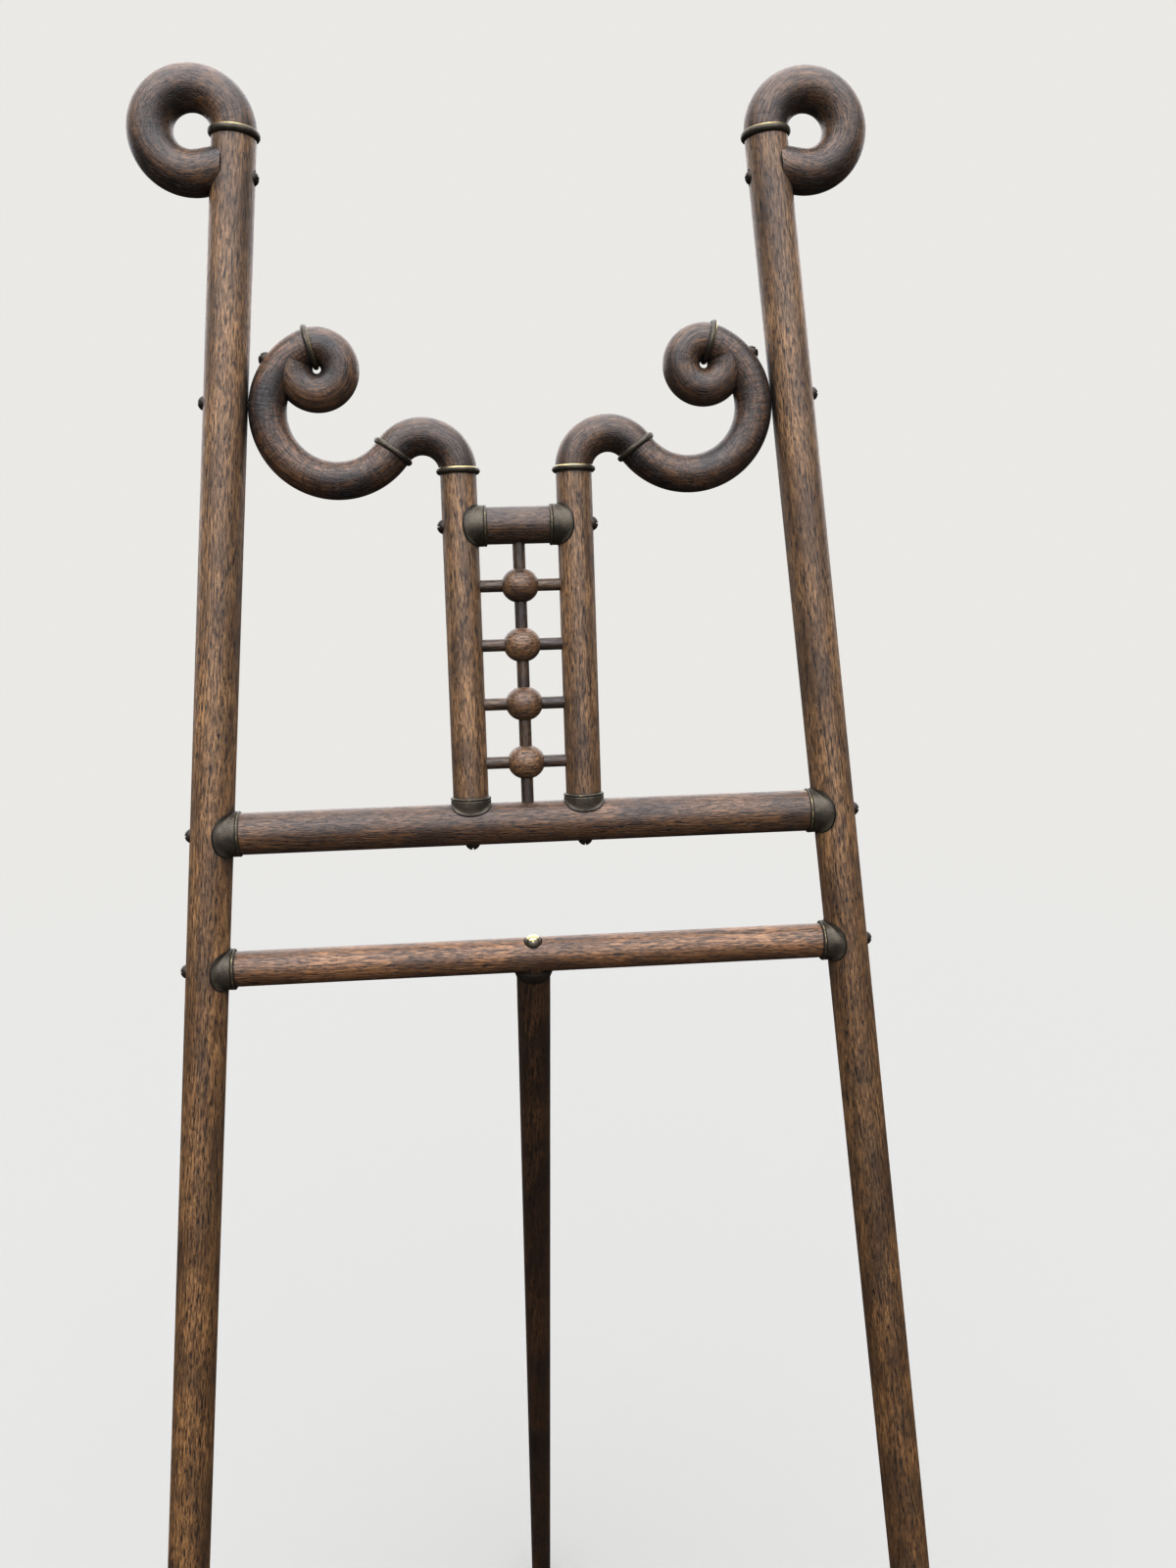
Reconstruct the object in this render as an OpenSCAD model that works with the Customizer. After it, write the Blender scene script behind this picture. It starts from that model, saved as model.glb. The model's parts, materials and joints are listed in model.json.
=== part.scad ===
// Folding display easel of turned and steam-bent oak with brass ferrules.
// Two splayed posts carry the rails, a stick-and-ball ladder and two bentwood scrolls.
// One rear leg hangs from the lower rail, which turns in its ferrules to fold the leg in.
//
// Frame coordinates, used by everything that belongs to the front frame:
//   x to the right, y back from the frame's plane, z up along the frame from the floor.
// in_frame() leans them back and puts the origin on the floor at the footprint's middle.

/* [Stance] */
// Lean of the front frame back from upright, degrees
frame_lean = 12; // [8:0.5:16]
// Angle between the front frame and the open rear leg, degrees
leg_opening = 27; // [22:0.5:32]
// Half the distance between the post centrelines at the floor
post_foot_x = 388.3; // [370:1:400]
// Inward lean of each post, degrees
post_splay = 5.05; // [4.5:0.05:5.5]

/* [Bars] */
// Diameter of the posts
post_d = 38.1; // [38:0.1:40]
// Diameter of the main rail and the picture rail
rail_d = 37.6; // [34:0.1:37.8]
// Diameter of the lower rail, which carries the leg
lower_rail_d = 31.8; // [31.4:0.1:34]
// Diameter of the two uprights
upright_d = 31.8; // [30:0.1:33]
// Diameter of the short rung between the uprights
rung_d = 33; // [30:0.5:34]
// Diameter of the rear leg at its top
leg_top_d = 31; // [28:0.5:31]
// Diameter of the rear leg at its foot
leg_foot_d = 24; // [20:0.5:28]

/* [Heights along the frame] */
// Axis of the picture rail
picture_rail_z = 410; // [360:5:440]
// Axis of the lower rail
lower_rail_z = 1077.5; // [1060:0.5:1090]
// Axis of the main rail
main_rail_z = 1200; // [1190:1:1210]
// Axis of the rung between the uprights
rung_z = 1466; // [1464:1:1470]
// Top of the uprights, where the scrolls start
upright_top_z = 1514; // [1512:1:1518]
// Top of the posts, where the finials start
post_top_z = 1799; // [1780:1:1820]

/* [Ladder] */
// Half the distance between the upright centrelines
upright_x = 51.1; // [50:0.1:54]
// Widest diameter of a ball
ball_d = 33.5; // [31:0.5:36]
// Height of a ball
ball_h = 30.4; // [28:0.2:31]
// Distance from one ball to the next
ball_pitch = 52.7; // [50:0.1:53]
// Diameter of the sticks
stick_d = 11; // [9:0.5:12]

/* [Bentwood] */
// Diameter of the scroll pieces
scroll_d = 33; // [31:0.5:34]
// Centreline radius of the arch over each upright
arch_radius = 30.9; // [29:0.1:32]
// Angle at which the arch meets the big scroll, degrees
arch_joint_angle = 36; // [34:0.5:38]
// Centreline radius of the big scroll
scroll_radius = 59; // [58:0.5:59]
// Angle at which the big scroll meets the curl, degrees
curl_joint_angle = 67.5; // [62:0.5:72]
// Centreline radius of the curl
curl_radius = 20; // [19:0.5:22]
// Diameter of the finials
finial_d = 38.6; // [38:0.1:40]
// Centreline radius of the finials
finial_radius = 35; // [34:0.5:38]

/* [Picture rest] */
// Half the distance between the pegs
peg_x = 150; // [100:5:200]
// Diameter of a peg's shaft
peg_d = 12; // [10:0.5:14]
// Length of a peg's shaft that shows
peg_reach = 66; // [50:1:90]
// Diameter of a peg's ball
peg_ball_d = 30; // [26:1:34]

/* [Brass] */
// Wall of the ferrules
ferrule_wall = 0.8; // [0.6:0.1:1.2]
// Radius of the rolled rim on the ferrules
rim_bead_r = 1.4; // [1.2:0.1:1.6]
// Diameter of the round screw heads
screw_head_d = 13.4; // [11:0.2:14]
// Height of the round screw heads
screw_head_h = 6.2; // [4:0.2:7]
// Diameter of the screw shanks
screw_d = 4.8; // [4:0.2:5.2]
// Diameter of the long leg screw's head
leg_head_d = 16.6; // [13:0.2:17]
// Height of the long leg screw's head
leg_head_h = 7.6; // [6:0.2:9]

/* [Hidden] */
$fn = 64;

// Colours
oak = "#6b4a33";
dark_oak = "#3a281e";
brass = "#7d7250";

// Radii
post_r = post_d / 2;
rail_r = rail_d / 2;
lower_rail_r = lower_rail_d / 2;
upright_r = upright_d / 2;
rung_r = rung_d / 2;
scroll_r = scroll_d / 2;
finial_r = finial_d / 2;
peg_r = peg_d / 2;
stick_r = stick_d / 2;
screw_r = screw_d / 2;
head_r = screw_head_d / 2;

// Fits
turning_gap = 0.05;
sliding_gap = 0.05;
cut_over = 60;

// Posts
post_length = post_top_z / cos(post_splay);
function post_x(z) = post_foot_x - z * tan(post_splay);
function post_face_x(z) = post_x(z) + post_r / cos(post_splay);

// Ferrules: how far the rolled rim stands from the axis of the bar that the ferrule sits on
post_rim_z = 25.8;
lower_rim_z = 25.5;
upright_rim_z = 25.2;
rung_rim_z = 23.4;
post_tip_z = 3.5;
lower_tip_z = 6;
upright_tip_z = 9.2;
rung_tip_z = 2.1;
lower_ferrule_wall = 1.6;
rung_stop_x = 8;
collar_flare = 2.8;
collar_tip_z = 11;
collar_rim_z = 22;

// Screws
seat_depth = 1.6;
finial_seat_depth = 3;
leg_seat_depth = 2.4;
seat_clearance = 0.15;
tip_length = 7;
slot_width = 1.3;
slot_depth = 2.2;
rail_screw_length = post_d + 26;
upright_screw_length = rail_d + 24;
rung_screw_length = upright_d + 20;
finial_screw_length = post_d + 18;
scroll_screw_length = post_d + 24;
curl_screw_length = scroll_d + 16;
leg_screw_length = lower_rail_d + 40;
finial_screw_drop = 35;
scroll_screw_z = main_rail_z + 374.5;
curl_screw_angle = 38;

// Dowels hidden in the bentwood joints
dowel_r = 4.75;
dowel_length = 36;

// Ladder
socket_depth = 6;
first_ball_z = main_rail_z + 54.9;
ball_heights = [for (i = [0:3]) first_ball_z + i * ball_pitch];

// Scroll centres, each tangent to the last
arch_x = upright_x + arch_radius;
arch_z = upright_top_z;
scroll_x = arch_x + (arch_radius + scroll_radius) * cos(arch_joint_angle);
scroll_z = arch_z + (arch_radius + scroll_radius) * sin(arch_joint_angle);
curl_x = scroll_x + (scroll_radius - curl_radius) * cos(curl_joint_angle);
curl_z = scroll_z + (scroll_radius - curl_radius) * sin(curl_joint_angle);
curl_end_angle = 378;

// Finial, in the post's own coordinates
finial_end_angle = -105;
finial_end_run = 26;
finial_end_taper = 0.15;
finial_end_lap = 1;
finial_stop_x = 8;

// Rings
finial_ring_width = 7.2;
finial_ring_rise = 2.3;
joint_ring_width = 5.8;
joint_ring_rise = 2.4;
curl_ring_width = 5.2;
curl_ring_rise = 2;
curl_ring_turn = 7;
ring_clearance = 0.05;

// Rear leg: hinge on the lower rail's axis, straight under its ferrule, then tapering to the foot
leg_back_lean = leg_opening - frame_lean;
hinge_y = lower_rail_z * sin(frame_lean);
hinge_z = lower_rail_z * cos(frame_lean);
leg_length = hinge_z / cos(leg_back_lean);
leg_foot_y = hinge_y + hinge_z * tan(leg_back_lean);
leg_straight = 60;
function leg_taper(s) = max(0, s - leg_straight) / (leg_length - leg_straight);
function leg_radius(s) = leg_top_d / 2 + (leg_foot_d - leg_top_d) / 2 * leg_taper(s);

// Footprint: from the front of the peg balls to the back of the leg's foot
peg_ball_y = -(rail_r + peg_reach + peg_ball_d / 2);
peg_depth = 30;
footprint_front = peg_ball_y * cos(frame_lean) + picture_rail_z * sin(frame_lean) - peg_ball_d / 2;
footprint_back = leg_foot_y + (leg_foot_d / 2) / cos(leg_back_lean);
footprint_middle = (footprint_front + footprint_back) / 2;

// ---------- places ----------

module on_floor() translate([0, -footprint_middle, 0]) children();

module in_frame() on_floor() rotate([-frame_lean, 0, 0]) children();

// The right-hand piece as it is (side = 1) or its mirror image (side = -1)
module on_side(side) {
    if (side > 0) children();
    else mirror([1, 0, 0]) children();
}

module both_sides() for (side = [-1, 1]) on_side(side) children();

// Post coordinates: z along the right post from the floor, x outward
module along_post() translate([post_foot_x, 0, 0]) rotate([0, -post_splay, 0]) children();

// Rail end coordinates: z along the rail from the right post's axis to the middle
module at_rail_end(z) translate([post_x(z), 0, z]) rotate([0, -90, 0]) children();

// Leg coordinates: z along the leg from the hinge to the floor
module along_leg() {
    on_floor() translate([0, hinge_y, hinge_z]) rotate([180 + leg_back_lean, 0, 0]) children();
}

module below_floor() translate([0, 0, -500]) cube([2000, 2000, 1000], center = true);

// ---------- shapes ----------

// A bent bar: a circular section swept round an arc in the x-z plane
module bent_bar(radius, bar_r, from, to) {
    rotate([90, 0, 0]) rotate([0, 0, from])
        rotate_extrude(angle = to - from) translate([radius, 0]) circle(bar_r);
}

// A ring about the z axis, flat inside and domed outside, round a bar that bends with the radius
// bend. Its inner radius leaves room for the bend.
module domed_ring(bar_r, bend, width, rise) {
    half = width / 2;
    inner_bend = bend - bar_r;
    gap = inner_bend - sqrt(inner_bend * inner_bend - half * half) + ring_clearance;
    dome_r = (half * half + rise * rise) / (2 * rise);
    rotate_extrude() translate([bar_r + gap, 0]) intersection() {
        translate([rise - dome_r, 0]) circle(dome_r);
        translate([0, -dome_r]) square(2 * dome_r);
    }
}

// A round-head wood screw with its seat at z = 0 and its shank towards -z
module round_head_screw(length, r = head_r, h = screw_head_h) {
    dome_r = (r * r + h * h) / (2 * h);
    difference() {
        union() {
            intersection() {
                translate([0, 0, h - dome_r]) sphere(dome_r);
                translate([-r, -r, 0]) cube([2 * r, 2 * r, h + 1]);
            }
            screw_shank(length);
        }
        translate([0, 0, h - slot_depth + 5]) cube([slot_width, 2 * r + 2, 10], center = true);
    }
}

module screw_shank(length) {
    translate([0, 0, tip_length - length]) cylinder(r = screw_r, h = length - tip_length);
    translate([0, 0, -length]) cylinder(r1 = 0.6, r2 = screw_r, h = tip_length);
}

// The space that a screw takes out of the wood: shank, tip and a flat seat for the head
module screw_hole(length, r = head_r) {
    screw_shank(length);
    cylinder(r = r + seat_clearance, h = cut_over / 2);
}

module dowel() cylinder(r = dowel_r, h = dowel_length, center = true);

// A brass saddle ferrule round the end of a bar (along z) that butts on a main bar
// (along x, through the origin, leaning by tilt): a thin sleeve with a rolled rim, coped
// to the main bar so that a tongue laps its front and another its back.
module saddle_ferrule(bar_r, main_r, rim_z, wall, tilt, tip_z) {
    difference() {
        rotate_extrude() {
            translate([bar_r, tip_z]) square([wall, rim_z - tip_z]);
            intersection() {
                translate([bar_r + wall, rim_z - rim_bead_r]) circle(rim_bead_r);
                translate([bar_r, 0]) square([2 * bar_r, rim_z]);
            }
        }
        rotate([0, 90 + tilt, 0]) cylinder(r = main_r, h = 6 * bar_r, center = true);
    }
}

// ---------- screws in their places, one child per screw ----------

// Through the post into a rail's end, head outward
module at_rail_screw(z) {
    translate([post_face_x(z) - seat_depth, 0, z]) rotate([0, 90, 0]) children();
}

// Up through the main rail into an upright
module at_upright_screw() {
    translate([upright_x, 0, main_rail_z - rail_r + seat_depth]) rotate([180, 0, 0]) children();
}

// Through an upright into the rung
module at_rung_screw() {
    translate([upright_x + upright_r - seat_depth, 0, rung_z]) rotate([0, 90, 0]) children();
}

// Through the post into the finial's lower end, head on the inner side
module at_finial_screw() {
    along_post() translate([finial_seat_depth - post_r, 0, post_length - finial_screw_drop])
        rotate([0, -90, 0]) children();
}

// Through the post into the big scroll
module at_scroll_screw() {
    along_post() translate([post_r - seat_depth, 0, scroll_screw_z / cos(post_splay)])
        rotate([0, 90, 0]) children();
}

// Through the big scroll into the curl's end
module at_curl_screw() {
    translate([scroll_x, 0, scroll_z]) rotate([0, -curl_screw_angle, 0])
        translate([scroll_radius + scroll_r - seat_depth, 0, 0]) rotate([0, 90, 0]) children();
}

// Through the lower rail into the leg's top
module at_leg_screw() {
    along_leg() translate([0, 0, leg_seat_depth - lower_rail_r]) rotate([180, 0, 0]) children();
}

// ---------- dowels in their places ----------

module at_finial_joint() along_post() translate([0, 0, post_length]) children();

module at_arch_base() translate([upright_x, 0, upright_top_z]) children();

module at_scroll_joint() {
    translate([scroll_x, 0, scroll_z]) rotate([0, -arch_joint_angle, 0])
        translate([-scroll_radius, 0, 0]) children();
}

module on_curl(angle) {
    translate([curl_x, 0, curl_z]) rotate([0, -angle, 0]) translate([curl_radius, 0, 0]) children();
}

module at_curl_joint() on_curl(curl_joint_angle) children();

// ---------- posts and finials ----------

module post(side) {
    color(oak) difference() {
        in_frame() on_side(side) difference() {
            along_post() translate([0, 0, -cut_over]) cylinder(r = post_r, h = post_length + cut_over);
            at_rail_screw(main_rail_z) screw_hole(rail_screw_length);
            at_rail_screw(picture_rail_z) screw_hole(rail_screw_length);
            at_rail_screw(lower_rail_z) screw_hole(rail_screw_length);
            at_rail_screw(lower_rail_z) mirror([0, 0, 1]) cylinder(r = screw_r + turning_gap, h = cut_over);
            at_finial_screw() screw_hole(finial_screw_length);
            at_scroll_screw() screw_hole(scroll_screw_length);
            at_finial_joint() dowel();
        }
        below_floor();
    }
}

module left_post() post(-1);

module right_post() post(1);

// The crook leaves the post's top, turns outward in a full loop and butts on the post's side
module finial(side) {
    color(oak) in_frame() on_side(side) difference() {
        along_post() {
            at_finial_loop() bent_bar(finial_radius, finial_r, finial_end_angle, 180);
            finial_end();
        }
        at_finial_screw() screw_hole(finial_screw_length);
        at_finial_joint() dowel();
    }
}

module at_finial_loop() translate([finial_radius, 0, post_length]) children();

// The loop's last stretch runs straight in to the post and is coped to it
module finial_end() {
    difference() {
        at_finial_loop()
            translate([finial_radius * cos(finial_end_angle), 0, finial_radius * sin(finial_end_angle)])
            rotate([0, 180 - finial_end_angle, 0]) translate([0, 0, -finial_end_lap])
            cylinder(r = finial_r - finial_end_taper, h = finial_end_run);
        translate([0, 0, post_length - 100]) cylinder(r = post_r, h = 100);
        translate([finial_stop_x - 100, -50, post_length - 100]) cube(100);
    }
}

module left_finial() finial(-1);

module right_finial() finial(1);

module finial_rings() {
    color(brass) in_frame() both_sides() at_finial_joint()
        domed_ring(finial_r, finial_radius, finial_ring_width, finial_ring_rise);
}

module finial_screws() {
    color(brass) in_frame() both_sides() at_finial_screw() round_head_screw(finial_screw_length);
}

// ---------- rails ----------

// A rail between the posts, with both ends coped to them
module coped_rail(z) {
    difference() {
        translate([0, 0, z]) rotate([0, 90, 0]) cylinder(r = rail_r, h = 2 * post_x(z), center = true);
        both_sides() along_post() cylinder(r = post_r, h = post_length);
        both_sides() at_rail_screw(z) screw_hole(rail_screw_length);
    }
}

module rail_ferrules(z) {
    color(brass) in_frame() both_sides() at_rail_end(z)
        saddle_ferrule(rail_r, post_r, post_rim_z, ferrule_wall, -post_splay, post_tip_z);
}

module rail_screws(z) {
    color(brass) in_frame() both_sides() at_rail_screw(z) round_head_screw(rail_screw_length);
}

module main_rail() {
    color(oak) in_frame() difference() {
        coped_rail(main_rail_z);
        both_sides() at_upright_screw() screw_hole(upright_screw_length);
        translate([0, 0, main_rail_z + rail_r - socket_depth]) cylinder(r = stick_r, h = cut_over);
    }
}

module main_rail_ferrules() rail_ferrules(main_rail_z);

module main_rail_screws() rail_screws(main_rail_z);

// ---------- ladder ----------

module upright(side) {
    color(oak) in_frame() on_side(side) difference() {
        translate([upright_x, 0, main_rail_z]) cylinder(r = upright_r, h = upright_top_z - main_rail_z);
        translate([0, 0, main_rail_z]) rotate([0, 90, 0])
            cylinder(r = rail_r, h = 4 * upright_x, center = true);
        at_upright_screw() screw_hole(upright_screw_length);
        at_rung_screw() screw_hole(rung_screw_length);
        at_arch_base() dowel();
        for (z = ball_heights)
            translate([0, 0, z]) rotate([0, 90, 0])
                cylinder(r = stick_r, h = upright_x - upright_r + socket_depth);
    }
}

module left_upright() upright(-1);

module right_upright() upright(1);

module upright_ferrules() {
    color(brass) in_frame() both_sides() translate([upright_x, 0, main_rail_z])
        saddle_ferrule(upright_r, rail_r, upright_rim_z, ferrule_wall, 0, upright_tip_z);
}

module upright_screws() {
    color(brass) in_frame() both_sides() at_upright_screw() round_head_screw(upright_screw_length);
}

module top_rung() {
    color(oak) in_frame() difference() {
        translate([0, 0, rung_z]) rotate([0, 90, 0])
            cylinder(r = rung_r, h = 2 * (upright_x - rung_stop_x), center = true);
        both_sides() translate([upright_x, 0, rung_z - cut_over]) cylinder(r = upright_r, h = 2 * cut_over);
        both_sides() at_rung_screw() screw_hole(rung_screw_length);
        translate([0, 0, rung_z - rung_r - 1]) cylinder(r = stick_r, h = socket_depth + 1);
    }
}

module rung_ferrules() {
    color(brass) in_frame() both_sides() translate([upright_x, 0, rung_z]) rotate([0, -90, 0])
        saddle_ferrule(rung_r, upright_r, rung_rim_z, ferrule_wall, 0, rung_tip_z);
}

module rung_screws() {
    color(brass) in_frame() both_sides() at_rung_screw() round_head_screw(rung_screw_length);
}

// A turned ball, a little flattened, with a socket for each of its four sticks
module ladder_ball() {
    flat_r = (ball_d - ball_h) / 2;
    difference() {
        rotate_extrude() intersection() {
            union() {
                translate([flat_r, 0]) circle(ball_h / 2);
                translate([0, -ball_h / 2]) square([flat_r, ball_h]);
            }
            translate([0, -ball_h]) square([ball_d, 2 * ball_h]);
        }
        for (turn = [0, 180]) rotate([turn, 0, 0])
            translate([0, 0, ball_h / 2 - socket_depth]) cylinder(r = stick_r, h = cut_over);
        for (turn = [90, -90]) rotate([0, turn, 0])
            translate([0, 0, ball_d / 2 - socket_depth]) cylinder(r = stick_r, h = cut_over);
    }
}

module ladder_balls() color(oak) in_frame() for (z = ball_heights) translate([0, 0, z]) ladder_ball();

// A stick between two heights on the ladder's centre line
module vertical_stick(low, high) translate([0, 0, low]) cylinder(r = stick_r, h = high - low);

module vertical_sticks() {
    half_gap = ball_h / 2 - socket_depth;
    tops = [for (z = ball_heights) z - half_gap];
    bottoms = [for (z = ball_heights) z + half_gap];
    last = len(ball_heights) - 1;
    color(oak) in_frame() {
        vertical_stick(main_rail_z + rail_r - socket_depth, tops[0]);
        for (i = [1:last]) vertical_stick(bottoms[i - 1], tops[i]);
        vertical_stick(bottoms[last], rung_z - rung_r + socket_depth);
    }
}

module cross_sticks() {
    inner = ball_d / 2 - socket_depth;
    outer = upright_x - upright_r + socket_depth;
    color(oak) in_frame() both_sides() for (z = ball_heights)
        translate([inner, 0, z]) rotate([0, 90, 0]) cylinder(r = stick_r, h = outer - inner);
}

// ---------- bentwood scrolls ----------

module arch(side) {
    color(oak) in_frame() on_side(side) difference() {
        translate([arch_x, 0, arch_z]) bent_bar(arch_radius, scroll_r, arch_joint_angle, 180);
        at_arch_base() dowel();
        at_scroll_joint() dowel();
    }
}

module left_arch() arch(-1);

module right_arch() arch(1);

module scroll_bar() {
    translate([scroll_x, 0, scroll_z])
        bent_bar(scroll_radius, scroll_r, 180 + arch_joint_angle, 360 + curl_joint_angle);
}

module big_scroll(side) {
    color(oak) in_frame() on_side(side) difference() {
        scroll_bar();
        at_scroll_joint() dowel();
        at_curl_joint() dowel();
        at_scroll_screw() screw_hole(scroll_screw_length);
        at_curl_screw() screw_hole(curl_screw_length);
    }
}

module left_scroll() big_scroll(-1);

module right_scroll() big_scroll(1);

// The curl closes on itself, and its end is coped to the inside of the big scroll
module curl(side) {
    color(oak) in_frame() on_side(side) difference() {
        translate([curl_x, 0, curl_z]) bent_bar(curl_radius, scroll_r, curl_joint_angle, curl_end_angle);
        scroll_bar();
        at_curl_joint() dowel();
        at_curl_screw() screw_hole(curl_screw_length);
    }
}

module left_curl() curl(-1);

module right_curl() curl(1);

module joint_ring() domed_ring(scroll_r, arch_radius, joint_ring_width, joint_ring_rise);

module arch_rings() color(brass) in_frame() both_sides() at_arch_base() joint_ring();

module scroll_rings() color(brass) in_frame() both_sides() at_scroll_joint() joint_ring();

// These sit a little past the joint
module curl_rings() {
    color(brass) in_frame() both_sides() on_curl(curl_joint_angle + curl_ring_turn)
        domed_ring(scroll_r, curl_radius, curl_ring_width, curl_ring_rise);
}

module curl_screws() {
    color(brass) in_frame() both_sides() at_curl_screw() round_head_screw(curl_screw_length);
}

module scroll_screws() {
    color(brass) in_frame() both_sides() at_scroll_screw() round_head_screw(scroll_screw_length);
}

module joint_dowels() {
    color(dark_oak) in_frame() both_sides() {
        at_finial_joint() dowel();
        at_arch_base() dowel();
        at_scroll_joint() dowel();
        at_curl_joint() dowel();
    }
}

// ---------- picture rest ----------

module at_peg(side) translate([side * peg_x, 0, picture_rail_z]) rotate([90, 0, 0]) children();

module picture_rail() {
    color(oak) in_frame() difference() {
        coped_rail(picture_rail_z);
        for (side = [-1, 1]) at_peg(side)
            translate([0, 0, rail_r - peg_depth]) cylinder(r = peg_r + sliding_gap, h = cut_over);
    }
}

module picture_rail_ferrules() rail_ferrules(picture_rail_z);

module picture_rail_screws() rail_screws(picture_rail_z);

// A peg turned in one piece with its ball
module peg(side) {
    color(oak) in_frame() at_peg(side) {
        translate([0, 0, rail_r - peg_depth + 1]) cylinder(r = peg_r, h = peg_depth - 1 + peg_reach + 2);
        translate([0, 0, -peg_ball_y]) sphere(peg_ball_d / 2);
    }
}

module left_peg() peg(-1);

module right_peg() peg(1);

// ---------- lower rail and rear leg, which fold as one ----------

module lower_rail_ferrules() {
    color(brass) in_frame() both_sides() at_rail_end(lower_rail_z)
        saddle_ferrule(lower_rail_r + turning_gap, post_r, lower_rim_z, lower_ferrule_wall, -post_splay,
            lower_tip_z);
}

// Its square ends stop just short of the posts, inside the ferrules, so that it can turn
module lower_rail() {
    half = post_x(lower_rail_z) - post_r / cos(post_splay) - lower_rail_r * tan(post_splay) - 0.5;
    color(oak) difference() {
        in_frame() difference() {
            translate([0, 0, lower_rail_z]) rotate([0, 90, 0])
                cylinder(r = lower_rail_r, h = 2 * half, center = true);
            both_sides() at_rail_screw(lower_rail_z) screw_hole(rail_screw_length);
        }
        at_leg_screw() screw_hole(leg_screw_length, leg_head_d / 2);
    }
}

module pivot_screws() rail_screws(lower_rail_z);

module rear_leg() {
    blank = leg_length + cut_over;
    color(dark_oak) difference() {
        along_leg() difference() {
            rotate_extrude() polygon([
                [0, 0], [leg_radius(0), 0], [leg_radius(0), leg_straight],
                [leg_radius(blank), blank], [0, blank],
            ]);
            rotate([0, 90, 0]) cylinder(r = lower_rail_r, h = 4 * lower_rail_r, center = true);
        }
        at_leg_screw() screw_hole(leg_screw_length, leg_head_d / 2);
        below_floor();
    }
}

// A flared collar that widens from the leg to the lower rail and is coped to it
module leg_ferrule() {
    outer = leg_radius(0) + collar_flare;
    color(brass) along_leg() difference() {
        rotate_extrude() polygon([
            [leg_radius(0), collar_tip_z], [outer, collar_tip_z], [outer, lower_rail_r],
            [leg_radius(0) + ferrule_wall, collar_rim_z], [leg_radius(0), collar_rim_z],
        ]);
        rotate([0, 90, 0]) cylinder(r = lower_rail_r, h = 4 * lower_rail_r, center = true);
    }
}

module leg_screw() {
    color(brass) at_leg_screw() round_head_screw(leg_screw_length, leg_head_d / 2, leg_head_h);
}

// ---------- the easel ----------

left_post();
right_post();
left_finial();
right_finial();
finial_rings();
finial_screws();
main_rail();
main_rail_ferrules();
main_rail_screws();
left_upright();
right_upright();
upright_ferrules();
upright_screws();
top_rung();
rung_ferrules();
rung_screws();
ladder_balls();
vertical_sticks();
cross_sticks();
left_arch();
right_arch();
left_scroll();
right_scroll();
left_curl();
right_curl();
arch_rings();
scroll_rings();
curl_rings();
curl_screws();
scroll_screws();
joint_dowels();
picture_rail();
picture_rail_ferrules();
picture_rail_screws();
lower_rail_ferrules();
lower_rail();
pivot_screws();
rear_leg();
leg_ferrule();
leg_screw();
left_peg();
right_peg();
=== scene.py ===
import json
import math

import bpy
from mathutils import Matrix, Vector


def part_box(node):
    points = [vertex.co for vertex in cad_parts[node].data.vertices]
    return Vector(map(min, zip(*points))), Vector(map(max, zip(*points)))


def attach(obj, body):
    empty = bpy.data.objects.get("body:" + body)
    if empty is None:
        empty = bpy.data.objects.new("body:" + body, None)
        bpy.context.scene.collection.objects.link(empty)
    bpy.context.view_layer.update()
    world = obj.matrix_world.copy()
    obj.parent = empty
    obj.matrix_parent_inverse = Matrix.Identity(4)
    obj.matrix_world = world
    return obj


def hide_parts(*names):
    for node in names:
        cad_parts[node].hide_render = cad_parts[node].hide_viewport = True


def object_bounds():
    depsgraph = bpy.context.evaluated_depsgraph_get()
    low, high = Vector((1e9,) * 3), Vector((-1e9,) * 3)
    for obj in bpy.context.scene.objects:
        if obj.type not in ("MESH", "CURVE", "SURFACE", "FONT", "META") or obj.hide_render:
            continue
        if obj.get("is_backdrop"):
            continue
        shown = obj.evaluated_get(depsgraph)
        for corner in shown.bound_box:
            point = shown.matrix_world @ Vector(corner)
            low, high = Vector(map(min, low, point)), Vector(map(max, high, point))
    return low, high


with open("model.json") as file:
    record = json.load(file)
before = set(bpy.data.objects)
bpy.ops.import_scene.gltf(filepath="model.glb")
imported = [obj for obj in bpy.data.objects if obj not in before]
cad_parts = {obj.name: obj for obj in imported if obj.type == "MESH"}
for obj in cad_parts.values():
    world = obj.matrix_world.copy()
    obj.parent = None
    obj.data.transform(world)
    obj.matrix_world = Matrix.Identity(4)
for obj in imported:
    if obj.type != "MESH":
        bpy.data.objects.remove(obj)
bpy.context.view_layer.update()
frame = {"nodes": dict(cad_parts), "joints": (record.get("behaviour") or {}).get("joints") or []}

# The looks of a Victorian folding display easel: stained oak bars and bentwood, aged brass fittings.
# All lengths are in metres. Three coordinate systems are used besides the row frame:
#   the leaning frame (x right, y back, z up along the frame), a post's own (z along the post),
#   and a grain system for each bar, whose z runs along the wood's fibres.

MM = 0.001
SPLAY = math.radians(5.05)
POST_R = 19.05 * MM
FINIAL_BEND = 35 * MM
ARCH_BEND = 30.9 * MM
SCROLL_BEND = 59 * MM
CURL_BEND = 20 * MM
LEG_FOOT_R = 12 * MM


# ---------- places read from the frame ----------

def joint(name):
    return next(j for j in frame["joints"] if j["name"] == name)


def box_in(node, place):
    """Lowest and highest corner of a CAD node, in the coordinates that place carries to the row frame."""
    back = place.inverted()
    points = [back @ v.co for v in frame["nodes"][node].data.vertices]
    return [Vector([pick(p[i] for p in points) for i in range(3)]) for pick in (min, max)]


def middle(node):
    low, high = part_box(node)
    return (low + high) / 2


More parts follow.
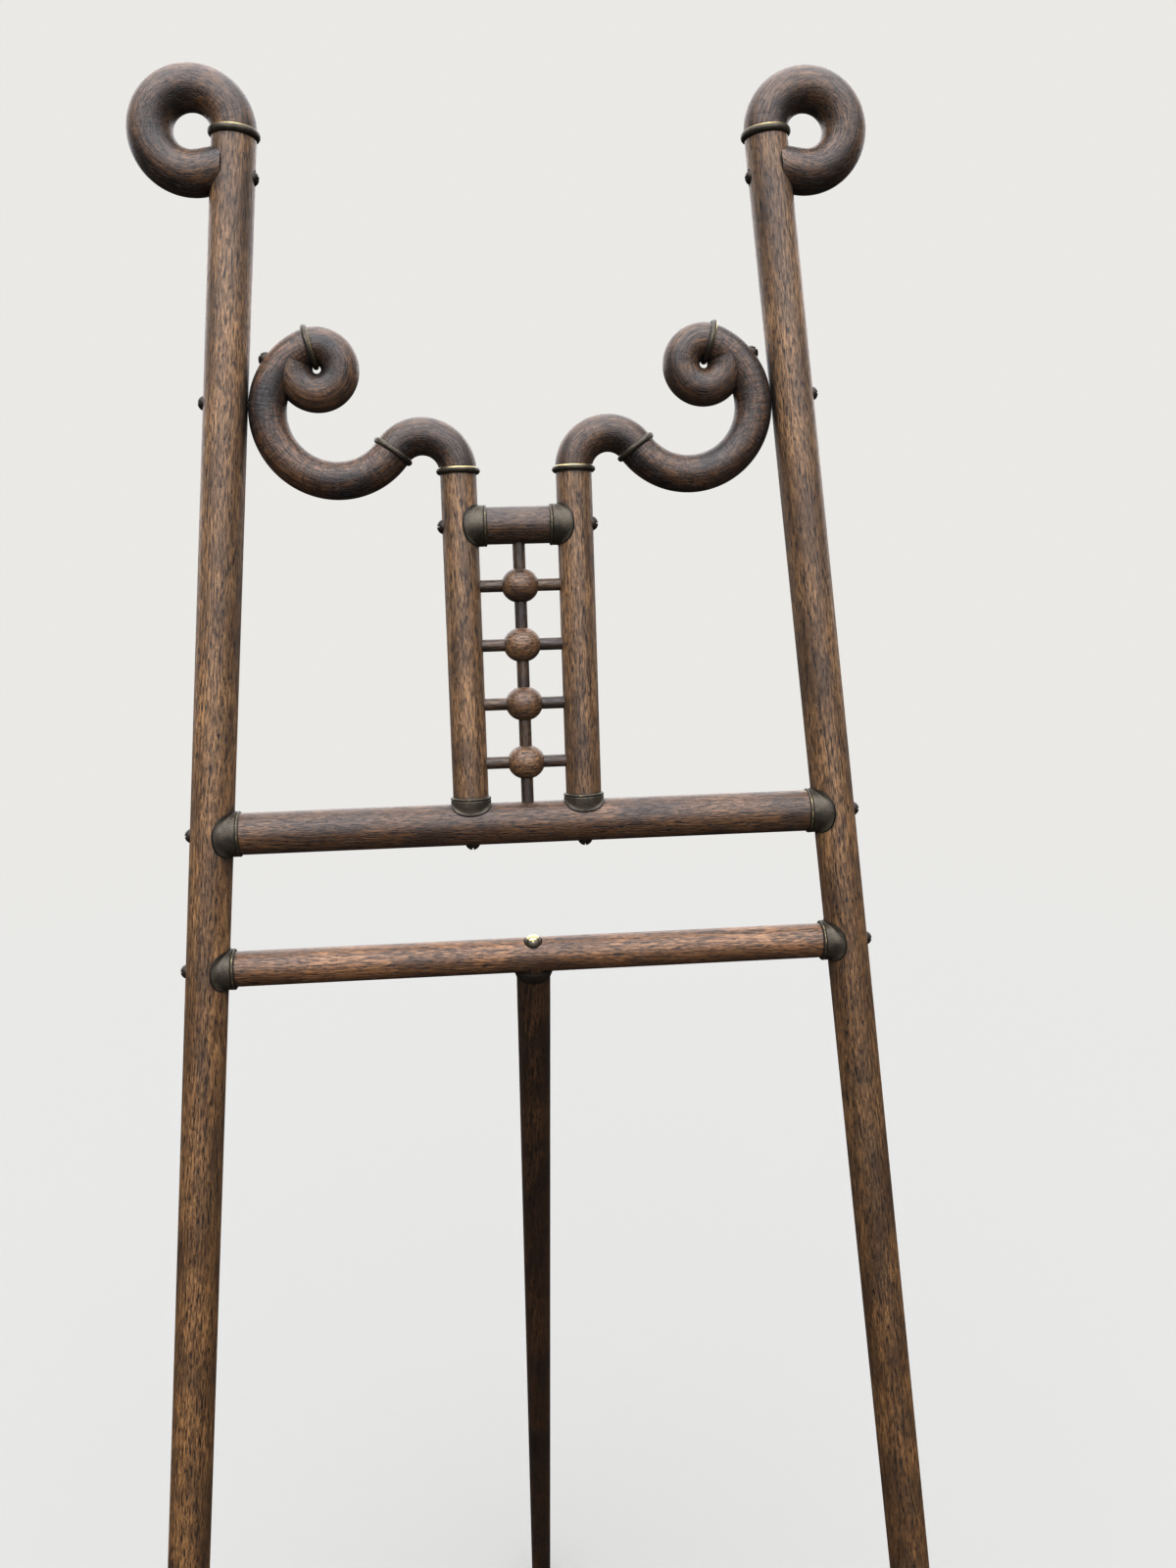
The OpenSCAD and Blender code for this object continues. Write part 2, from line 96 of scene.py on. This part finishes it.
def turn(degrees, axis):
    return Matrix.Rotation(math.radians(degrees), 4, axis)


SLIDE = joint("left_peg_slide")["axis"]
LEAN = math.atan2(SLIDE[2], -SLIDE[1])
RAIL = middle("main_rail")
FOOT_Y = RAIL.y - RAIL.z * math.tan(LEAN)
LEANING = Matrix.Translation((0, FOOT_Y, 0)) @ Matrix.Rotation(-LEAN, 4, "X")
POST_FOOT_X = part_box("right_post")[1].x - POST_R / math.cos(SPLAY)
MIRROR = Matrix.Diagonal((-1, 1, 1, 1))
BOTH_SIDES = (Matrix.Identity(4), MIRROR)


def post_place(side):
    return LEANING @ Matrix.Translation((side * POST_FOOT_X, 0, 0)) @ Matrix.Rotation(-side * SPLAY, 4, "Y")


def leg_place():
    """Leg coordinates: z from the hinge to the foot."""
    hinge = Vector(joint("leg_fold")["pos_m"])
    low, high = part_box("rear_leg")
    back_lean = math.atan2(high.y - LEG_FOOT_R - hinge.y, hinge.z)
    return Matrix.Translation(hinge) @ Matrix.Rotation(math.pi + back_lean, 4, "X")


# ---------- shader graphs ----------

def srgb(red, green, blue):
    """A linear colour from display values of 0 to 255."""
    return tuple((c / 255 / 12.92 if c <= 10 else ((c / 255 + 0.055) / 1.055) ** 2.4)
                 for c in (red, green, blue)) + (1.0,)


class Graph:
    """A material's or world's node tree, with short calls for the nodes used here."""

    def __init__(self, owner):
        owner.use_nodes = True
        self.tree = owner.node_tree
        self.tree.nodes.clear()

    def put(self, socket, value):
        if isinstance(value, bpy.types.NodeSocket):
            self.tree.links.new(value, socket)
        else:
            socket.default_value = value

    def node(self, kind, sockets, **settings):
        made = self.tree.nodes.new(kind)
        for key, value in settings.items():
            setattr(made, key, value)
        for key, value in sockets.items():
            self.put(made.inputs[key], value)
        return made

    def math(self, operation, a, b=0.0):
        return self.node("ShaderNodeMath", {0: a, 1: b}, operation=operation).outputs[0]

    def vector(self, operation, a, b=(0.0, 0.0, 0.0)):
        return self.node("ShaderNodeVectorMath", {0: a, 1: b}, operation=operation).outputs[0]

    def dot(self, a, b):
        return self.node("ShaderNodeVectorMath", {0: a, 1: b}, operation="DOT_PRODUCT").outputs[1]

    def length(self, a):
        return self.node("ShaderNodeVectorMath", {0: a}, operation="LENGTH").outputs[1]

    def parts(self, a):
        return self.node("ShaderNodeSeparateXYZ", {0: a}).outputs

    def join(self, x, y, z):
        return self.node("ShaderNodeCombineXYZ", {0: x, 1: y, 2: z}).outputs[0]

    def noise(self, position, detail=2.0, roughness=0.5, distortion=0.0):
        sockets = {"Vector": position, "Scale": 1.0, "Detail": detail, "Roughness": roughness,
                   "Distortion": distortion}
        return self.node("ShaderNodeTexNoise", sockets).outputs[0]

    def smooth(self, value, low, high, start=0.0, end=1.0):
        sockets = {"Value": value, "From Min": low, "From Max": high, "To Min": start, "To Max": end}
        return self.node("ShaderNodeMapRange", sockets, interpolation_type="SMOOTHSTEP").outputs[0]

    def mix(self, factor, a, b, blend="MIX"):
        made = self.node("ShaderNodeMix", {}, data_type="RGBA", blend_type=blend)
        self.put(made.inputs[0], factor)
        self.put(made.inputs[6], a)
        self.put(made.inputs[7], b)
        return made.outputs[2]

    def crevice_shade(self, reach, shade_depth):
        """Painted shade: 0 in the open, rising to the given darkness where other surfaces within reach crowd
        this one.
        """
        sockets = {"Distance": reach}
        open_sky = self.node("ShaderNodeAmbientOcclusion", sockets, samples=6).outputs["AO"]
        return self.smooth(open_sky, 0.4, 0.9, shade_depth, 0.0)

    def bump(self, height, distance, strength=1.0):
        sockets = {"Height": height, "Distance": distance, "Strength": strength}
        return self.node("ShaderNodeBump", sockets).outputs[0]

    def finish(self, **sockets):
        named = {key.replace("_", " "): value for key, value in sockets.items()}
        shader = self.node("ShaderNodeBsdfPrincipled", named)
        self.node("ShaderNodeOutputMaterial", {"Surface": shader.outputs[0]})


# ---------- grain coordinates ----------

def local_position(graph, place):
    """Position in the coordinates that place carries to the row frame, for a place without scale."""
    back = place.inverted()
    where = graph.node("ShaderNodeTexCoord", {}).outputs["Object"]
    sockets = {"Vector": where, "Location": back.translation, "Rotation": back.to_euler()}
    return graph.node("ShaderNodeMapping", sockets).outputs[0]


def straight_grain(place):
    """Grain along the z axis of place."""
    return lambda graph: local_position(graph, place)


def bent_grain(place, radius, gap):
    """Grain round a ring in the x-z plane of place. At the angle gap, in degrees, the ring is open."""
    place = place @ turn(180 - gap, "Y")

    def grain(graph):
        x, y, z = graph.parts(local_position(graph, place))
        out = graph.math("SUBTRACT", graph.length(graph.join(x, 0.0, z)), radius)
        round_it = graph.math("MULTIPLY", graph.math("ARCTAN2", z, x), radius)
        return graph.join(out, y, round_it)

    return grain


# ---------- materials ----------

GOLDEN = srgb(128, 99, 68)
BROWN = srgb(60, 41, 25)
PORE = srgb(15, 11, 9)
GRIME = srgb(28, 24, 23)
# Painted shade: the near-black put into crevices, the ferrules' groove and their contact lines.
PAINTED_SHADE = srgb(9, 7, 6)
# Painted light and shade by height: a darker, warmer tint for the low wood, a lighter, cooler tint for the
# high wood, and the heights between which they blend.
LOW_SHADE_TINT = (0.8, 0.76, 0.66, 1.0)
HIGH_LIGHT_TINT = (1.08, 1.11, 1.15, 1.0)
SHADE_BELOW = 0.5
LIGHT_ABOVE = 1.5
RING_WIDTH = 3.4 * MM
RING_WAVER = 14 * MM
PORE_DEPTH = 0.45 * MM


def oak_material(name, grain, seed, shade=1.0, red=0.0, grime=0.5, ripple=0.0, pith=55 * MM, slope=0.03):
    """Stained, varnished oak: growth rings, pores and fibres follow the grain.

    shade darkens or lightens the stain, red warms it, grime is how dark the handled patches are, and
    ripple how dark the wrinkles are that bending leaves across the grain.
    Painted light and shade: the wood is darker and warmer near the floor and lighter and cooler towards the
    top.
    The rings are cut at a slope to the bar, from a pith beside it, so that they run out as flames.
    """
    material = bpy.data.materials.new(name)
    graph = Graph(material)
    local = grain(graph)
    fibre = graph.vector("ADD", local, (seed * 0.37, seed * 0.71, seed * 1.13))

    def stretched(across, along, **settings):
        return graph.noise(graph.vector("MULTIPLY", fibre, (across, across, along)), **settings)

    x, y, z = graph.parts(local)
    angle = seed * 2.4
    beside = graph.join(
        graph.math("ADD", x, pith * math.cos(angle)), graph.math("ADD", y, pith * math.sin(angle)), 0.0)
    depth = graph.math("ADD", graph.length(beside), graph.math("MULTIPLY", z, slope))
    depth = graph.math("ADD", depth, graph.math("MULTIPLY", stretched(45, 7), RING_WAVER))
    ring = graph.math("FRACT", graph.math("DIVIDE", depth, RING_WIDTH))
    early = graph.math("MULTIPLY", graph.smooth(ring, 0.0, 0.15), graph.smooth(ring, 0.3, 0.6, 1.0, 0.0))

    mottle = stretched(270, 48, detail=3, roughness=0.65)
    fibres = stretched(780, 105, detail=3, roughness=0.7)
    pores = graph.smooth(stretched(900, 110, detail=1), 0.54, 0.64)
    wrinkles = graph.smooth(stretched(75, 290, distortion=0.6), 0.48, 0.62, 0.0, ripple)
    rubbed = stretched(26, 11, detail=1)
    patches = stretched(48, 21, detail=2)

    light = graph.math(
        "ADD", graph.smooth(mottle, 0.36, 0.64, 0.0, 0.35), graph.smooth(fibres, 0.38, 0.62, 0.0, 0.65))
    light = graph.math("MULTIPLY", light, graph.smooth(rubbed, 0.3, 0.65, 0.55, 1.25))
    colour = graph.mix(light, BROWN, GOLDEN)
    colour = graph.mix(graph.math("MULTIPLY", early, 0.4), colour, BROWN)
    colour = graph.mix(graph.math("MULTIPLY", pores, graph.smooth(early, 0.0, 1.0, 0.5, 0.95)), colour, PORE)
    colour = graph.mix(graph.smooth(patches, 0.42, 0.68, 0.0, grime), colour, GRIME)
    colour = graph.mix(wrinkles, colour, PORE)
    tint = tuple(shade * warm for warm in (1.0 + red, 1.0 - 0.15 * red, 1.0 - 0.5 * red)) + (1.0,)
    colour = graph.mix(1.0, colour, tint, "MULTIPLY")
    # Painted light and shade: darker towards the floor, lighter and greyer towards the top, as if light
    # falls from above.
    floor_height = graph.parts(graph.node("ShaderNodeTexCoord", {}).outputs["Object"])[2]
    height_light_and_shade = graph.mix(graph.smooth(floor_height, SHADE_BELOW, LIGHT_ABOVE), LOW_SHADE_TINT, HIGH_LIGHT_TINT)
    colour = graph.mix(1.0, colour, height_light_and_shade, "MULTIPLY")
    # Painted shade: black in crevices and between parts, where ambient occlusion finds nearby surfaces.
    colour = graph.mix(graph.crevice_shade(14 * MM, 0.8), colour, PAINTED_SHADE)

    height = graph.math("SUBTRACT", graph.math("MULTIPLY", fibres, 0.5), graph.math("ADD", pores, wrinkles))
    graph.finish(
        Base_Color=colour,
        Roughness=graph.smooth(fibres, 0.3, 0.7, 0.58, 0.44),
        Coat_Weight=0.35,
        Coat_Roughness=0.36,
        Specular_IOR_Level=0.4,
        Normal=graph.bump(height, PORE_DEPTH, 0.9),
    )
    return material


def brass_material(name, seed, patina, metal, shine=0.45, rubbed=(0.0, 0.0, 0.0)):
    """Old brass under a dull patina.

    It is bright where the ferrules' attribute is above 0, for worn brass, in a few specks, and, as a painted
    highlight, on edges that face the given direction.
    It is blackened with painted shade where that attribute is below 0 and in crevices.
    """
    material = bpy.data.materials.new(name)
    graph = Graph(material)
    here = graph.node("ShaderNodeTexCoord", {}).outputs
    where = graph.vector("ADD", here["Object"], (seed * 0.31, seed * 0.17, seed * 0.53))

    def scaled(scale):
        return graph.vector("MULTIPLY", where, (scale, scale, scale))

    blotch = graph.noise(scaled(110), 3, 0.6)
    speck = graph.noise(scaled(800), 2, 0.6)
    # The ferrules' point attribute: above 0 marks worn brass on the rim's crest, below 0 marks painted shade
    # along the tongue edges and in the groove.
    wear_and_shade = graph.node("ShaderNodeAttribute", {}, attribute_name="wear_and_shade").outputs["Fac"]
    # Painted highlight: faces that point along the given direction, towards the light, are made bright gold.
    facing = graph.dot(here["Normal"], rubbed)
    rub = graph.math("ADD", wear_and_shade, graph.smooth(facing, 0.62, 0.92))
    worn_and_highlit = graph.math("ADD", graph.math("MULTIPLY", rub, 0.5), graph.math("MULTIPLY", blotch, 0.5))
    bright = graph.smooth(graph.math("ADD", worn_and_highlit, graph.math("MULTIPLY", speck, 0.25)), 0.5, 0.72)
    dark = tuple(0.45 * c for c in patina[:3]) + (1.0,)
    dull = graph.mix(graph.smooth(graph.math("ADD", speck, blotch), 0.75, 1.25), patina, dark)
    # Painted shade: black where the attribute is below 0.
    dull = graph.mix(graph.smooth(wear_and_shade, -0.6, 0.0, 0.85, 0.0), dull, PAINTED_SHADE)
    # Painted shade: black in crevices, where ambient occlusion finds nearby surfaces.
    dull = graph.mix(graph.crevice_shade(6 * MM, 0.6), dull, PAINTED_SHADE)
    graph.finish(
        Base_Color=graph.mix(bright, dull, metal),
        Metallic=graph.math("ADD", 0.5, graph.math("MULTIPLY", bright, 0.5)),
        Roughness=graph.smooth(bright, 0.0, 1.0, shine, 0.28),
        Normal=graph.bump(graph.math("ADD", speck, blotch), 0.15 * MM, 0.4),
    )
    return material


# ---------- ferrules ----------

COLUMNS = 96
TONGUE_ROWS = 14
BAND_ROWS = 8
SHEET = 0.8 * MM
BAND = 3 * MM
GROOVE = 0.5 * MM


def ferrule_rows(bar_r, main_r, body_r, rim, tip, tilt):
    """Rows of (x, y, z, mark) points over a saddle ferrule and back inside it: the mark is above 0 for worn
    brass and below 0 for painted shade.

    z runs along the bar from the main bar's axis and x along the main bar, which leans by tilt.
    The sheet follows the bar, then spreads over the main bar as two round tongues, front and back.
    """
    groove = rim - BAND
    top = main_r + SHEET + 0.1 * MM

    def columns():
        for i in range(COLUMNS):
            even = 2 * math.pi * i / COLUMNS
            yield even + 0.3 * math.sin(2 * even)

    def tongue(reach, sink):
        row = []
        for a in columns():
            x = (body_r - sink) * math.sin(a)
            facing = abs(math.cos(a))
            edge = (top - (top - tip) * facing + x * math.sin(tilt)) / math.cos(tilt)
            z = groove + (edge - groove) * reach
            away = z * math.cos(tilt) - x * math.sin(tilt)
            rest = math.sqrt(max(0, (main_r + SHEET - sink) ** 2 - away ** 2))
            lift = (body_r - sink) * facing - rest
            lift = (lift + math.hypot(lift, 1.2 * MM * facing)) / 2
            y = rest + lift * (1 - reach ** 4)
            # The fourth value marks the outer edge of each tongue below 0: painted shade where the tongue
            # meets the main bar.
            row.append((x, math.copysign(y, -math.cos(a)), z, -max(0, reach - 0.85) * 4))
        return row

    def round_row(r, z, wear_and_shade):
        return [(r * math.sin(a), -r * math.cos(a), z, wear_and_shade) for a in columns()]

    rows = [tongue(1 - i / TONGUE_ROWS, 0) for i in range(TONGUE_ROWS + 1)]
    # The groove row is marked below 0: painted shade in the groove.
    rows.append(round_row(body_r - GROOVE, groove + 0.1 * MM, -0.8))
    crest = body_r + 0.2 * MM - bar_r
    for i in range(BAND_ROWS + 1):
        a = math.pi * (0.12 + 0.88 * i / BAND_ROWS)
        z = (groove + rim) / 2 - math.cos(a) * (rim - groove) / 2
        rows.append(round_row(bar_r + crest * math.sin(a) ** 0.7, z, 0.3 * math.sin(a) ** 5))
    rows.append(round_row(bar_r - SHEET, rim, 0))
    rows.append(round_row(bar_r - SHEET, groove, 0))
    rows += [tongue(i / TONGUE_ROWS, SHEET * 1.1) for i in range(1, TONGUE_ROWS + 1)]
    return rows


def make_ferrules(name, node, body, places, material, **sizes):
    """Stands one closed ferrule at each place and lets the piece stand for the CAD node."""
    rows = ferrule_rows(**sizes)
    points, wear_and_shade, faces = [], [], []
    for place in places:
        first = len(points)
        for row in rows:
            points += [place @ Vector(p[:3]) for p in row]
            wear_and_shade += [p[3] for p in row]
        for r in range(len(rows)):
            for c in range(COLUMNS):
                here, above = r * COLUMNS, (r + 1) % len(rows) * COLUMNS
                beside = (c + 1) % COLUMNS
                face = [here + c, here + beside, above + beside, above + c]
                faces.append([first + i for i in (face if place.determinant() > 0 else face[::-1])])
    mesh = bpy.data.meshes.new(name)
    mesh.from_pydata(points, [], faces)
    mesh.shade_smooth()
    mesh.attributes.new("wear_and_shade", "FLOAT", "POINT").data.foreach_set("value", wear_and_shade)
    mesh.materials.append(material)
    piece = bpy.data.objects.new(name, mesh)
    bpy.context.scene.collection.objects.link(piece)
    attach(piece, body)
    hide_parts(node)


def dress(node, material):
    data = frame["nodes"][node].data
    data.materials.clear()
    data.materials.append(material)


# ---------- wood ----------

ALONG_X = LEANING @ turn(90, "Y")

for side, hand in ((-1, "left"), (1, "right")):
    post = post_place(side)
    post_top = box_in(hand + "_post", post)[1].z
    ring = post @ Matrix.Translation((side * FINIAL_BEND, 0, post_top))

    low, high = box_in(hand + "_arch", LEANING)
    bar_r = (high.y - low.y) / 2
    arch_x = min(abs(low.x), abs(high.x)) + ARCH_BEND + bar_r
    arch = LEANING @ Matrix.Translation((side * arch_x, 0, high.z - ARCH_BEND - bar_r))

    low, high = box_in(hand + "_scroll", LEANING)
    scroll_x = max(abs(low.x), abs(high.x)) - SCROLL_BEND - bar_r
    scroll = LEANING @ Matrix.Translation((side * scroll_x, 0, low.z + SCROLL_BEND + bar_r))

    low, high = box_in(hand + "_curl", LEANING)
    curl_x = min(abs(low.x), abs(high.x)) + CURL_BEND + bar_r
    curl = LEANING @ Matrix.Translation((side * curl_x, 0, high.z - CURL_BEND - bar_r))

    def mirrored(degrees):
        return degrees if side > 0 else 180 - degrees

    for seed, (part, grain, shade, red, grime, ripple) in enumerate((
        ("post", straight_grain(post), 1.07 - 0.07 * side, 0.0, 0.4, 0.0),
        ("finial", bent_grain(ring, FINIAL_BEND, mirrored(217)), 0.5, 0.1, 0.8, 0.3),
        ("arch", bent_grain(arch, ARCH_BEND, mirrored(285)), 0.38, 0.1, 0.9, 0.25),
        ("scroll", bent_grain(scroll, SCROLL_BEND, mirrored(142)), 0.42, 0.15, 0.9, 0.5),
        ("curl", bent_grain(curl, CURL_BEND, mirrored(43)), 0.55, 0.1, 0.9, 0.3),
        ("upright", straight_grain(LEANING), 1.0, 0.0, 0.4, 0.0),
        ("peg", straight_grain(LEANING @ turn(90, "X")), 0.8, 0.0, 0.5, 0.0))):
        node = hand + "_" + part
        dress(node, oak_material(node + "_oak", grain, 4 * seed + 2 + side, shade, red, grime, ripple))

for seed, (node, grain, shade, red, grime) in enumerate((
    ("main_rail", straight_grain(ALONG_X), 0.55, 0.1, 0.5),
    ("picture_rail", straight_grain(ALONG_X), 0.55, 0.1, 0.5),
    ("lower_rail", straight_grain(ALONG_X), 0.9, 0.1, 0.35),
    ("top_rung", straight_grain(ALONG_X), 0.32, 0.1, 0.5),
    ("ladder_balls", straight_grain(ALONG_X), 0.85, 0.05, 0.6),
    ("vertical_sticks", straight_grain(LEANING), 0.5, 0.0, 0.7),
    ("cross_sticks", straight_grain(ALONG_X), 0.5, 0.0, 0.7),
    ("joint_dowels", straight_grain(LEANING), 0.6, 0.0, 0.5),
    ("rear_leg", straight_grain(leg_place()), 0.36, 0.1, 0.5))):
    dress(node, oak_material(node + "_oak", grain, seed + 31, shade, red, grime))


# ---------- brass ----------

OLIVE = srgb(72, 66, 55)
BROWN_BRASS = srgb(56, 49, 42)
GOLD = srgb(204, 188, 140)


def rail_ends(rail):
    """The two ends of a rail between the posts: z along the rail from the post's axis."""
    low, high = box_in(rail, LEANING)
    height = (low.z + high.z) / 2
    across = POST_FOOT_X - height * math.tan(SPLAY)
    right = Matrix.Translation((across, 0, height)) @ turn(-90, "Y")
    return [LEANING @ flip @ right for flip in BOTH_SIDES]


def upright_feet():
    """The two feet of the uprights: z up along the upright from the main rail's axis."""
    low, high = box_in("right_upright", LEANING)
    rail = box_in("main_rail", LEANING)
    foot = Matrix.Translation(((low.x + high.x) / 2, 0, (rail[0].z + rail[1].z) / 2))
    return [LEANING @ flip @ foot for flip in BOTH_SIDES]


def rung_ends():
    """The two ends of the top rung: z along the rung from the upright's axis."""
    low, high = box_in("right_upright", LEANING)
    rung = box_in("top_rung", LEANING)
    end = Matrix.Translation(((low.x + high.x) / 2, 0, (rung[0].z + rung[1].z) / 2)) @ turn(-90, "Y")
    return [LEANING @ flip @ end for flip in BOTH_SIDES]


def brass(node, seed, **look):
    return brass_material(node + "_brass", seed, OLIVE, GOLD, **look)


BAR_R, RUNG_R, THIN_R = 18.8 * MM, 16.5 * MM, 15.9 * MM
for seed, rail in enumerate(("main_rail", "picture_rail")):
    make_ferrules(
        rail + "_saddles", rail + "_ferrules", "frame", rail_ends(rail), brass(rail + "_ferrules", seed),
        bar_r=BAR_R, main_r=POST_R, body_r=20.3 * MM, rim=25.8 * MM, tip=3 * MM, tilt=SPLAY)
make_ferrules(
    "lower_rail_saddles", "lower_rail_ferrules", "frame", rail_ends("lower_rail"),
    brass("lower_rail_ferrules", 2),
    bar_r=THIN_R + 0.1 * MM, main_r=POST_R, body_r=18.4 * MM, rim=25.5 * MM, tip=5 * MM, tilt=SPLAY)
make_ferrules(
    "upright_saddles", "upright_ferrules", "frame", upright_feet(), brass("upright_ferrules", 3),
    bar_r=THIN_R, main_r=BAR_R, body_r=18 * MM, rim=25.2 * MM, tip=9 * MM, tilt=0)
make_ferrules(
    "rung_saddles", "rung_ferrules", "frame", rung_ends(), brass("rung_ferrules", 4),
    bar_r=RUNG_R, main_r=THIN_R, body_r=18.2 * MM, rim=23.4 * MM, tip=2.1 * MM, tilt=0)

# Painted highlight: the finial and arch rings and the leg screw turn bright gold where they face up and to
# the front, towards the light. The scroll rings do so where they face the front, and the curl rings where
# they face right and front.
UP = tuple(LEANING.to_3x3() @ Vector((0, -0.3, 0.95)))
for seed, (node, rubbed) in enumerate((
        ("finial_rings", UP),
        ("arch_rings", UP),
        ("scroll_rings", (0, -0.4, 0)),
        ("curl_rings", (0.85, -0.3, 0)))):
    dress(node, brass(node, seed + 5, rubbed=rubbed))
dress("leg_ferrule", brass_material("leg_ferrule_brass", 9, BROWN_BRASS, GOLD))
dress("leg_screw", brass_material("leg_screw_brass", 10, OLIVE, GOLD, 0.35, UP))
for seed, node in enumerate(n for n in frame["nodes"] if "screws" in n):
    dress(node, brass_material(node + "_brass", seed, BROWN_BRASS, GOLD, 0.4))


# ---------- stage, light and camera ----------

PALE = srgb(238, 237, 234)
FLOOR_SIZE = 40
FADE_START = 1.6
FADE_END = 4.5
FLOOR_SEEN = srgb(130, 130, 127)
FLOOR_LIT = srgb(39, 37, 35)
SKY = (5.9, 5.9, 6.2, 1.0)
GROUND = (0.05, 0.045, 0.04, 1.0)
WALL = (3.0, 3.0, 3.1, 1.0)
BLACK = (0.0, 0.0, 0.0, 1.0)
CONTRAST_GAMMA = 0.82


def make_floor():
    """A floor that is pale to the camera, fades into the backdrop and gives back little light."""
    half = FLOOR_SIZE / 2
    mesh = bpy.data.meshes.new("floor")
    corners = [(-half, -half, 0), (half, -half, 0), (half, half, 0), (-half, half, 0)]
    mesh.from_pydata(corners, [], [(0, 1, 2, 3)])
    floor = bpy.data.objects.new("floor", mesh)
    bpy.context.scene.collection.objects.link(floor)
    material = bpy.data.materials.new("pale_floor")
    graph = Graph(material)
    seen = graph.node("ShaderNodeLightPath", {}).outputs["Is Camera Ray"]
    where = graph.node("ShaderNodeTexCoord", {}).outputs["Object"]
    far = graph.smooth(graph.length(where), FADE_START, FADE_END)
    colour = graph.mix(seen, FLOOR_LIT, FLOOR_SEEN)
    lit = graph.node("ShaderNodeBsdfDiffuse", {"Color": colour}).outputs[0]
    glow = graph.node("ShaderNodeEmission", {"Color": PALE}).outputs[0]
    fade = graph.math("MULTIPLY", far, seen)
    blend = graph.node("ShaderNodeMixShader", {0: fade, 1: lit, 2: glow}).outputs[0]
    graph.node("ShaderNodeOutputMaterial", {"Surface": blend})
    mesh.materials.append(material)
    floor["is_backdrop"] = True


def make_world():
    """A pale backdrop for the camera; for the light, a soft sky, a dim ground and a fainter wall behind."""
    world = bpy.data.worlds.new("studio")
    bpy.context.scene.world = world
    graph = Graph(world)
    seen = graph.node("ShaderNodeLightPath", {}).outputs["Is Camera Ray"]
    _, back, up = graph.parts(graph.node("ShaderNodeTexCoord", {}).outputs["Generated"])
    facing = graph.math("SUBTRACT", graph.math("MULTIPLY", up, 0.9), graph.math("MULTIPLY", back, 0.43))
    sky = graph.mix(graph.smooth(facing, 0.3, 1.0), GROUND, SKY)
    wall = graph.mix(graph.smooth(back, 0.0, 0.8), BLACK, WALL)
    colour = graph.mix(seen, graph.mix(1.0, sky, wall, "ADD"), PALE)
    background = graph.node("ShaderNodeBackground", {"Color": colour, "Strength": 1.0}).outputs[0]
    graph.node("ShaderNodeOutputWorld", {"Surface": background})


def make_light(name, at, towards, size, power):
    light = bpy.data.lights.new(name, "AREA")
    light.size = size
    light.energy = power
    holder = bpy.data.objects.new(name, light)
    holder.location = at
    holder.rotation_euler = (Vector(towards) - Vector(at)).to_track_quat("-Z", "Y").to_euler()
    bpy.context.scene.collection.objects.link(holder)


def make_camera():
    """The photograph's angle, solved from the bars' directions and crossings for the chosen lean."""
    at = Vector((-0.0479, -1.1729, 1.5862))
    ahead = Vector((0.0827, 0.9487, -0.3052)).normalized()
    right = ahead.cross(Vector((0.0394, 0.3030, 0.9522))).normalized()
    up = right.cross(ahead)
    data = bpy.data.cameras.new("camera")
    data.sensor_width = 36
    data.lens = 31.5
    camera = bpy.data.objects.new("camera", data)
    axes = Matrix((right, up, -ahead)).transposed().to_4x4()
    camera.matrix_world = Matrix.Translation(at) @ axes
    bpy.context.scene.collection.objects.link(camera)
    bpy.context.scene.camera = camera


make_floor()
make_world()
make_light("key", (-1.4, -1.0, 3.7), (0, 0.1, 1.2), 2.0, 18)
make_light("fill", (1.8, -1.0, 3.5), (0, 0.1, 1.2), 2.0, 8)
make_camera()
bpy.context.scene.view_settings.view_transform = "Standard"
bpy.context.scene.view_settings.gamma = CONTRAST_GAMMA

low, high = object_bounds()
